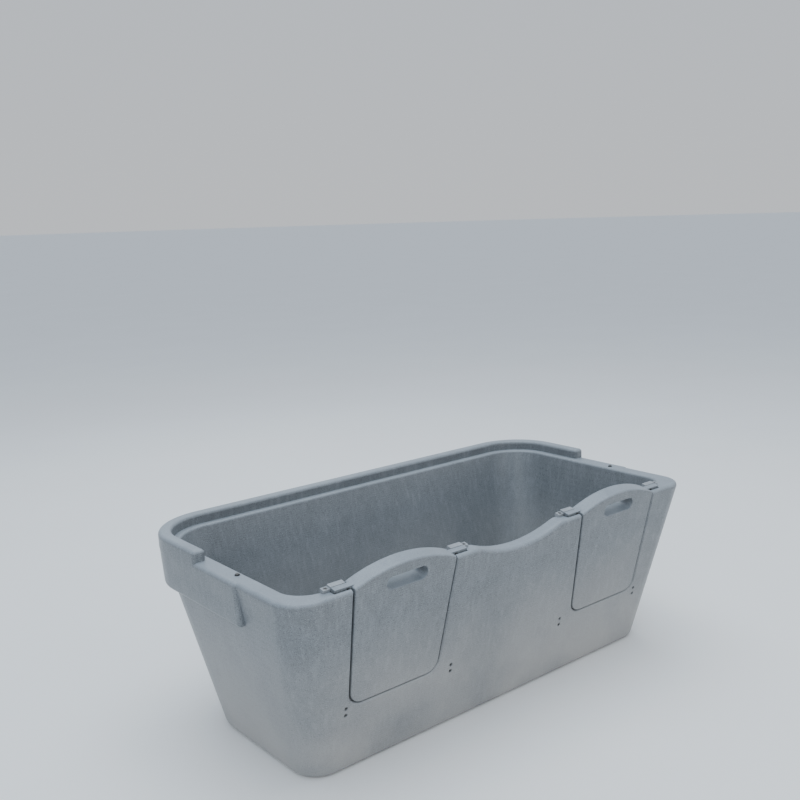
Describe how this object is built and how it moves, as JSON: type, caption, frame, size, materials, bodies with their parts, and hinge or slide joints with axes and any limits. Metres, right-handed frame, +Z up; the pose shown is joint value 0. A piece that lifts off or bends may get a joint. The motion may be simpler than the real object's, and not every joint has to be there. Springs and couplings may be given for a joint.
{
  "type": "water filled barrier",
  "caption": "Open-topped, double-walled, nesting ballast tub with leaning walls and lift-out gates in its front wall.",
  "frame": {"origin": "on the ground at the middle of the tub's overall box", "axes": "+X along the barrier to its right end, -Y towards the front with the gates, +Z up"},
  "size_m": [1.206, 0.6479, 0.465],
  "materials": {
    "tub_plastic": "satin rotomoulded polyethylene, blue-grey with a fine dark speckle",
    "gate_plastic": "satin rotomoulded polyethylene, the same speckled blue-grey as the tub",
    "rail_plastic": "machined polyethylene, plain grey",
    "fitting_plastic": "moulded black polyethylene",
    "plug_plastic": "moulded black nylon",
    "seal_rubber": "black rubber strip",
    "washer_rubber": "black rubber",
    "stainless": "stainless steel, satin",
    "insert_brass": "turned brass"
  },
  "bodies": {
    "tub": {"tub_body": "tub_plastic", "drain_bushing": "fitting_plastic", "rail_top_screws": "stainless", "vent_screws": "stainless", "vent_washers": "washer_rubber", "left_gate_inner_rail": "rail_plastic", "left_gate_inner_rail_screws": "stainless", "left_gate_inner_rail_inserts": "insert_brass", "left_gate_outer_rail": "rail_plastic", "left_gate_outer_rail_screws": "stainless", "left_gate_outer_rail_inserts": "insert_brass", "right_gate_inner_rail": "rail_plastic", "right_gate_inner_rail_screws": "stainless", "right_gate_inner_rail_inserts": "insert_brass", "right_gate_outer_rail": "rail_plastic", "right_gate_outer_rail_screws": "stainless", "right_gate_outer_rail_inserts": "insert_brass"},
    "left_gate": {"left_gate": "gate_plastic", "left_gate_seal": "seal_rubber"},
    "right_gate": {"right_gate": "gate_plastic", "right_gate_seal": "seal_rubber"},
    "drain_plug": {"drain_plug": "plug_plastic", "drain_plug_seal": "seal_rubber"}
  },
  "joints": [
    {"name": "left_gate_lift", "type": "slide", "parent": "tub", "child": "left_gate", "axis": [0, -0.2164, 0.9763], "range_m": [0, 0.32]},
    {"name": "right_gate_lift", "type": "slide", "parent": "tub", "child": "right_gate", "axis": [0, -0.2164, 0.9763], "range_m": [0, 0.32]},
    {"name": "drain_plug_pull", "type": "slide", "parent": "tub", "child": "drain_plug", "axis": [0, 0.9763, -0.2164], "range_m": [0, 0.06]}
  ]
}
